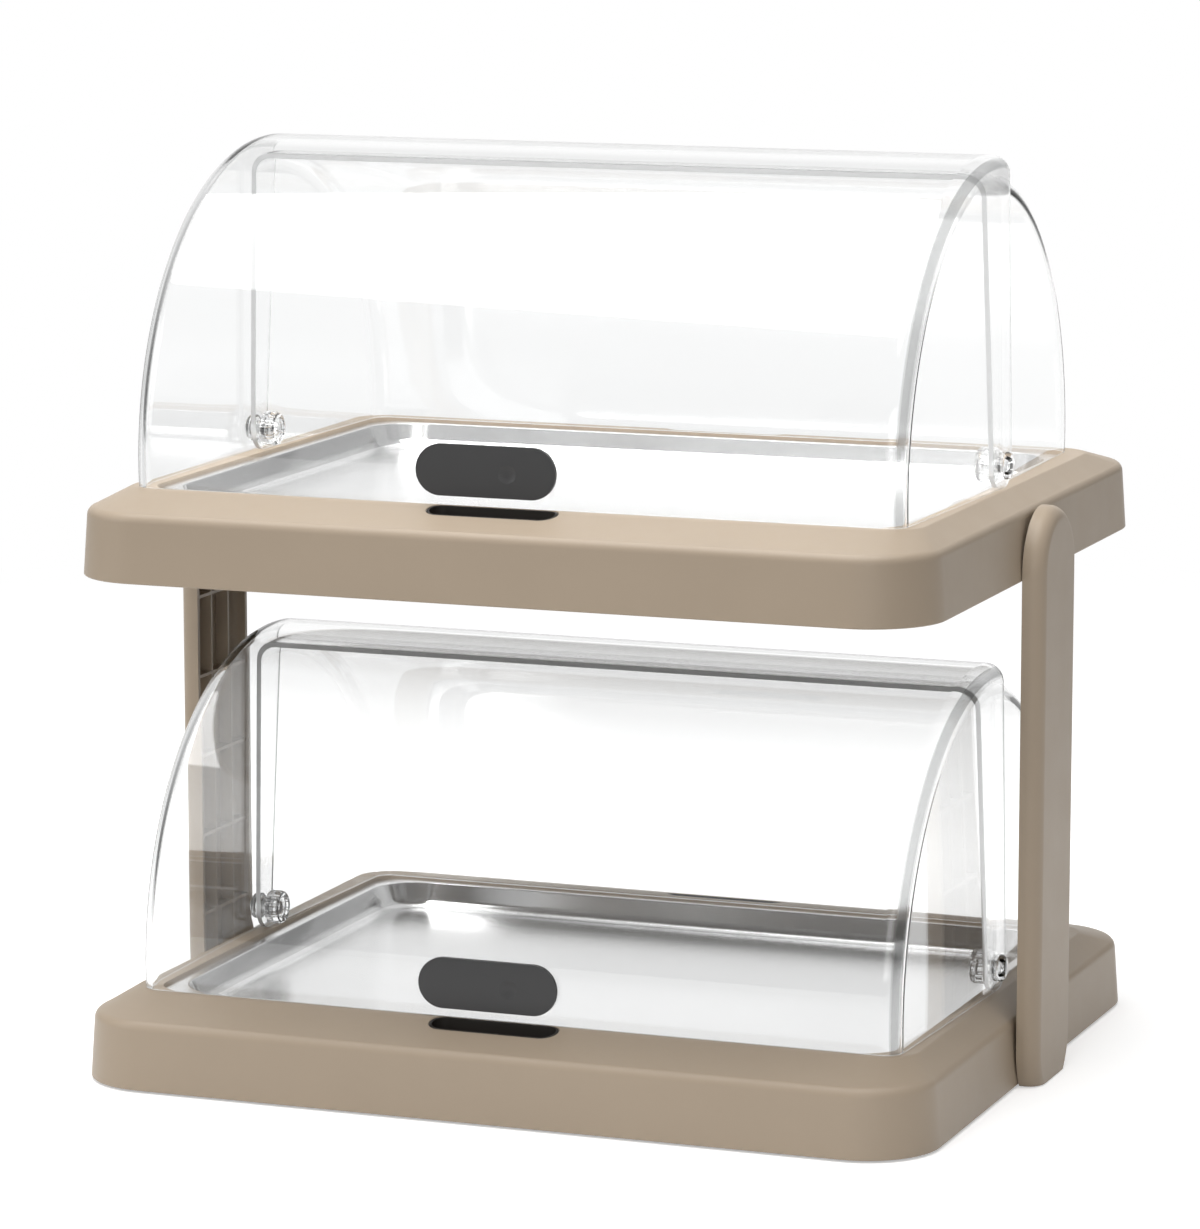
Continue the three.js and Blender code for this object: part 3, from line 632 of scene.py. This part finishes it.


def clear_plastic(name, colour, roughness, spread=0.03, clearness=1):
    """Clear moulded plastic: glassy, with faint waves and handling marks in its gloss."""
    made = bpy.data.materials.new(name)
    made.use_nodes = True
    nodes, links = made.node_tree.nodes, made.node_tree.links
    shader = nodes["Principled BSDF"]
    shader.inputs["Base Color"].default_value = (*colour, 1)
    shader.inputs["Transmission Weight"].default_value = clearness
    shader.inputs["IOR"].default_value = 1.49
    place = nodes.new("ShaderNodeTexCoord")
    marks = nodes.new("ShaderNodeTexNoise")
    marks.inputs["Scale"].default_value = 26
    marks.inputs["Detail"].default_value = 6
    links.new(place.outputs["Object"], marks.inputs["Vector"])
    gloss = nodes.new("ShaderNodeMapRange")
    gloss.inputs["From Min"].default_value = 0.4
    gloss.inputs["From Max"].default_value = 0.8
    gloss.inputs["To Min"].default_value = roughness
    gloss.inputs["To Max"].default_value = roughness + spread
    links.new(marks.outputs["Fac"], gloss.inputs["Value"])
    links.new(gloss.outputs["Result"], shader.inputs["Roughness"])
    waves = nodes.new("ShaderNodeTexNoise")
    waves.inputs["Scale"].default_value = 5
    links.new(place.outputs["Object"], waves.inputs["Vector"])
    bump = nodes.new("ShaderNodeBump")
    bump.inputs["Strength"].default_value = 0.15
    bump.inputs["Distance"].default_value = 0.6 * MM
    links.new(waves.outputs["Fac"], bump.inputs["Height"])
    links.new(bump.outputs["Normal"], shader.inputs["Normal"])
    return made


CLEAR = clear_plastic("clear_cover_plastic", (0.985, 0.988, 0.988), 0.0, spread=0.012)
# Grey, slightly satin clear plastic for the covers' rounded corners: the grey is painted shade for
# the dark band that bent clear plastic shows.
SHADED_CORNER_CLEAR = clear_plastic("clear_corner_painted_shade", (0.58, 0.585, 0.585), 0.08)
RIM = clear_plastic("satin_rim_plastic", (0.72, 0.725, 0.725), 0.3, spread=0.1, clearness=0.5)


def drum(name, radius, half_length, corner, finishes):
    """Closed drum along X: a cylinder whose end faces rise to a flat hub, with rounded rims."""
    start_piece(name)
    bpy.ops.mesh.primitive_cylinder_add(
        vertices=DRUM_STEPS, radius=radius * MM, depth=2 * half_length * MM,
        rotation=(0, math.pi / 2, 0))
    piece = bpy.context.object
    bpy.ops.mesh.select_mode(type="FACE")
    shape = bmesh.from_edit_mesh(piece.data)
    for face in shape.faces:
        face.select_set(abs(face.normal.x) > 0.9)
    bmesh.update_edit_mesh(piece.data)
    bpy.ops.mesh.inset(thickness=(radius - HUB_RADIUS) * MM, use_individual=True)
    bpy.ops.mesh.select_mode(type="VERT")
    shape = bmesh.from_edit_mesh(piece.data)
    for vertex in shape.verts:
        vertex.select_set(math.hypot(vertex.co.y, vertex.co.z) > (radius - 1) * MM)
    shape.select_flush_mode()
    bmesh.update_edit_mesh(piece.data)
    lean = COVER_TAPER * (radius - HUB_RADIUS) / TAPER_SPAN
    bpy.ops.transform.resize(
        value=((half_length - lean) / half_length, 1, 1), center_override=(0, 0, 0))
    bpy.ops.mesh.select_mode(type="EDGE")
    shape = bmesh.from_edit_mesh(piece.data)
    for edge in shape.edges:
        ends = [vertex.co for vertex in edge.verts]
        on_rim = all(math.hypot(end.y, end.z) > (radius - 1) * MM for end in ends)
        edge.select_set(on_rim and abs(ends[0].x - ends[1].x) < MM)
    bmesh.update_edit_mesh(piece.data)
    bpy.ops.mesh.bevel(offset=corner * MM, segments=8, affect="EDGES")
    bpy.ops.mesh.select_all(action="SELECT")
    bpy.ops.mesh.normals_make_consistent(inside=False)
    bpy.ops.object.mode_set(mode="OBJECT")
    for finish in finishes:
        piece.data.materials.append(finish)
    # the rounded corner faces get the last finish, the grey painted shade on the front shell
    for face in piece.data.polygons:
        if CORNER_FROM < abs(face.normal.x) < CORNER_TO:
            face.material_index = len(finishes) - 1
    return piece


def axle(name, radius, low, high, sides=48):
    """Plain solid rod along X, for cutting."""
    bpy.ops.object.select_all(action="DESELECT")
    bpy.ops.mesh.primitive_cylinder_add(
        vertices=sides, radius=radius * MM, depth=(high - low) * MM,
        location=((low + high) / 2 * MM, 0, 0), rotation=(0, math.pi / 2, 0))
    rod = bpy.context.object
    rod.name = name
    bpy.ops.object.transform_apply(location=True, rotation=True, scale=True)
    return rod


def share_block(name, side):
    """Block that keeps a shell's share of the drum, rounded about the hinge at its ear."""
    piece = start_piece(name)
    bpy.ops.mesh.primitive_cube_add(size=2 * MM)
    shape = bmesh.from_edit_mesh(piece.data)
    for vertex in shape.verts:
        up, past_hinge = vertex.co.z > 0, vertex.co.y * side < 0
        reach = -PAST_RIM
        if past_hinge:
            reach = SHARE_BACK + SHARE_LEAN if up else SHARE_BACK
        vertex.co.x *= PAST_ENDS
        vertex.co.y = -side * reach * MM
        vertex.co.z = (PAST_RIM if up else -EAR) * MM
    bpy.ops.mesh.select_mode(type="EDGE")
    for edge in shape.edges:
        ends = [vertex.co for vertex in edge.verts]
        edge.select_set(all(end.z < 0 and end.y * side < 0 for end in ends))
    bmesh.update_edit_mesh(piece.data)
    bpy.ops.mesh.bevel(offset=SHARE_BACK * MM, segments=12, affect="EDGES")
    bpy.ops.mesh.select_all(action="SELECT")
    bpy.ops.mesh.normals_make_consistent(inside=False)
    bpy.ops.object.mode_set(mode="OBJECT")
    return piece


def round_edges(piece, width, angle=50, steps=2):
    """Small rounding on all edges sharper than an angle."""
    only(piece)
    change = piece.modifiers.new("rounding", "BEVEL")
    change.width = width * MM
    change.segments = steps
    change.limit_method = "ANGLE"
    change.angle_limit = math.radians(angle)
    bpy.ops.object.modifier_apply(modifier=change.name)


def shell(name, side, radius, half_length, finishes):
    """One cover shell about the hinge axis. Side -1 is the front one, 1 the rear one."""
    piece = drum(name, radius, half_length, OUTER_CORNER, finishes)
    hollow = drum("hollow", radius - COVER_WALL, half_length - COVER_WALL, INNER_CORNER, finishes)
    carve(piece, hollow, own_finish=True)
    share = share_block("share", side)
    share.data.materials.append(RIM)
    carve(piece, share, "INTERSECT", own_finish=True)
    carve(piece, axle("bore", PIN_BORE, -PAST_ENDS, PAST_ENDS))
    round_edges(piece, 0.5)
    smooth(piece)
    return piece


SHELLS = {"front": (-1, 151.5, 202, (CLEAR, SHADED_CORNER_CLEAR)), "rear": (1, 143, 197.4, (CLEAR,))}
for row, (side, radius, half_length, finishes) in SHELLS.items():
    cover = shell("cover", side, radius, half_length, finishes)
    for tier, height in TIERS.items():
        piece = repeat(cover, f"{tier}_{row}_shell", height + HINGE)
        piece.visible_shadow = False
        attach(piece, f"{tier}_{row}_shell")
        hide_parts(f"{tier}_{row}_cover")
    bpy.data.objects.remove(cover)


# Thumb plates: dark satin plastic, curved to the front shell they are bonded to, with rounded
# edges and a shallow dish for the fingertip at the right end. Their faces are bare.
PLATE = plastic("dark_grey_plate_plastic", (0.048, 0.048, 0.049), 0.38, 0.8, 0.03, spread=0.04)
PLATE_MIDDLE = (-10.5, 6.3)
PLATE_HALF = (36, 12.5)
PLATE_BACK = 151.8
PLATE_FACE = 154.0
PLATE_STEPS = 720
DISH_RADIUS = 16
DISH_MIDDLE = (0.7, -169.1, 6.3)  # of the ball that cuts the dish

plate = axle("plate", PLATE_FACE, -70, 70, sides=PLATE_STEPS)
carve(plate, axle("plate_back", PLATE_BACK, -80, 80, sides=PLATE_STEPS))
plate_outline = (*PLATE_HALF, PLATE_HALF[1] - END_STRAIGHT)
blank = loft("blank", [level(plate_outline, 0, 130), level(plate_outline, 0, 170)], steps=16)
blank.rotation_euler = (math.pi / 2, 0, 0)
move_mesh(blank, PLATE_MIDDLE[0], 0, PLATE_MIDDLE[1])
carve(plate, blank, "INTERSECT")
bpy.ops.object.select_all(action="DESELECT")
bpy.ops.mesh.primitive_uv_sphere_add(
    segments=96, ring_count=48, radius=DISH_RADIUS * MM,
    location=[part * MM for part in DISH_MIDDLE])
dish = bpy.context.object
bpy.ops.object.transform_apply(location=True, rotation=True, scale=True)
carve(plate, dish)
round_edges(plate, 0.7, steps=3)
smooth(plate, 35)
plate.data.materials.append(PLATE)
for tier, height in TIERS.items():
    piece = repeat(plate, f"{tier}_grip_plate", height + HINGE)
    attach(piece, f"{tier}_front_shell")
    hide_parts(f"{tier}_thumb_plate")
bpy.data.objects.remove(plate)


# Hinge pins and knobs: a clear pin with a domed head passes through both shells' ears from
# outside and is held by a clear lobed knob inside, at each end of each cover.
def turned(name, profile, sides=48):
    """Turned piece along X through (x, radius) points, extruded one after another."""
    piece = start_piece(name)
    (x, radius), rest = profile[0], profile[1:]
    bpy.ops.mesh.primitive_circle_add(
        vertices=sides, radius=radius * MM, fill_type="NGON", location=(x * MM, 0, 0),
        rotation=(0, math.pi / 2, 0))
    for next_x, next_radius in rest:
        bpy.ops.mesh.extrude_region_move(
            TRANSFORM_OT_translate={"value": ((next_x - x) * MM, 0, 0)})
        ratio = next_radius / radius
        bpy.ops.transform.resize(value=(1, ratio, ratio), center_override=(next_x * MM, 0, 0))
        x, radius = next_x, next_radius
    bpy.ops.mesh.select_all(action="SELECT")
    bpy.ops.mesh.normals_make_consistent(inside=False)
    bpy.ops.object.mode_set(mode="OBJECT")
    return piece


pin = turned("pin", [
    (188.9, 2.6), (189.3, 3.2), (189.8, 3.4), (202.3, 3.4), (202.3, 6.4), (202.6, 6.8),
    (203.7, 6.7), (204.6, 6.2), (205.3, 5.2), (205.7, 3.8), (205.9, 1.8),
])
knob = turned("knob", [
    (194.6, 7.4), (194.2, 8.3), (193.5, 8.7), (188.2, 8.7), (187.1, 8.3), (186.5, 7.4),
    (186.4, 6.4), (186.7, 5.6), (187.4, 5.1), (187.7, 3.0),
], sides=60)
KNOB_LOBES = 10
NOTCH_RING = 9.5
notches = start_piece("notches")
for lobe in range(KNOB_LOBES):
    angle = 2 * math.pi * (lobe + 0.5) / KNOB_LOBES
    bpy.ops.mesh.primitive_cylinder_add(
        vertices=24, radius=1.5 * MM, depth=20 * MM, rotation=(0, math.pi / 2, 0),
        location=(191 * MM, NOTCH_RING * MM * math.cos(angle), NOTCH_RING * MM * math.sin(angle)))
bpy.ops.object.mode_set(mode="OBJECT")
carve(knob, notches)
carve(knob, axle("pin_bore", PIN_BORE, 188.6, 201))
round_edges(knob, 0.25)
for part, kind in ((pin, "pin"), (knob, "knob")):
    smooth(part)
    part.data.materials.append(CLEAR)
    for tier, height in TIERS.items():
        for side in ("left", "right"):
            piece = repeat(part, f"{tier}_{side}_clear_{kind}", height + HINGE)
            if side == "left":
                piece.rotation_euler = (0, 0, math.pi)
                move_mesh(piece)
            piece.visible_shadow = False
            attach(piece, "frame")
            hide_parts(f"{tier}_{side}_hinge_{kind}")
    bpy.data.objects.remove(part)


# Columns: channels moulded in the bases' plastic, open towards the bases, with an arched top, a
# rounded face and a lattice of ribs inside. Each is held by two screws from inside each base.
COLUMN_TOP = 286.9
COLUMN_OUTLINE = (149.45, 30.5, 30.5 - END_STRAIGHT)
COLUMN_INSIDE = 220.3
COLUMN_FACE = 231
COLUMN_WALL = 2.5
RIB = 1.6
RIB_PITCH = 41.7
RIB_COUNT = 7
LOWEST_RIB = 10.8
RIB_DEPTH = 8
RIB_MIDDLE = 225.7
UPRIGHT_RIBS = (-10.17, 10.17)
BOSS_RADIUS = 4.4
BOSS_OFFSET = 20
BOSS_HEIGHT = 16.2
OVERRUN = 6


def column_block(name, inset, low, high, edge):
    """Arched upright solid from one distance from the middle to another, its outer edge rounded."""
    levels = [level(COLUMN_OUTLINE, inset, low)]
    levels += rounding(COLUMN_OUTLINE, inset, edge, high - edge, edge, steps=8)
    block = loft(name, levels, steps=18)
    block.rotation_euler = (0, math.pi / 2, 0)
    move_mesh(block, z=COLUMN_TOP - COLUMN_OUTLINE[0])
    return block


def blocks(name, places):
    """Solid of plain blocks, each (size, middle) in millimetres, that don't touch each other."""
    piece = start_piece(name)
    for size, middle in places:
        bpy.ops.mesh.select_all(action="DESELECT")
        bpy.ops.mesh.primitive_cube_add(size=MM, location=[part * MM for part in middle])
        bpy.ops.transform.resize(value=size, center_override=[part * MM for part in middle])
    bpy.ops.object.mode_set(mode="OBJECT")
    return piece


column = column_block("column", 0, COLUMN_INSIDE, COLUMN_FACE, edge=7.5)
room = column_block(
    "room", COLUMN_WALL, COLUMN_INSIDE - OVERRUN, COLUMN_FACE - COLUMN_WALL, edge=5)
carve(room, blocks("upright_ribs", [
    ((RIB_DEPTH, RIB, 320), (RIB_MIDDLE, y, 140)) for y in UPRIGHT_RIBS]))
carve(room, blocks("cross_ribs", [
    ((RIB_DEPTH, 70, RIB), (RIB_MIDDLE, 0, LOWEST_RIB + RIB_PITCH * rib))
    for rib in range(RIB_COUNT)]))
for z in (BOSS_HEIGHT, BOSS_HEIGHT + TIER_SPACING):
    for y in (-BOSS_OFFSET, BOSS_OFFSET):
        boss = axle("boss", BOSS_RADIUS, COLUMN_INSIDE, 230)
        move_mesh(boss, 0, y, z)
        carve(room, boss)
carve(column, room)
carve(column, blocks("table_side", [((60, 80, 40), (225, 0, -19.5))]))
round_edges(column, 0.35, angle=60)
smooth(column)
column.data.materials.append(BEIGE)
for side in ("left", "right"):
    piece = repeat(column, f"{side}_channel_column")
    if side == "left":
        piece.rotation_euler = (0, 0, math.pi)
        move_mesh(piece)
    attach(piece, "frame")
    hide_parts(f"{side}_column")
    finish_nodes(ZINC, *[f"{side}_column_screw_{place}" for place in (1, 2, 3, 4)])
bpy.data.objects.remove(column)
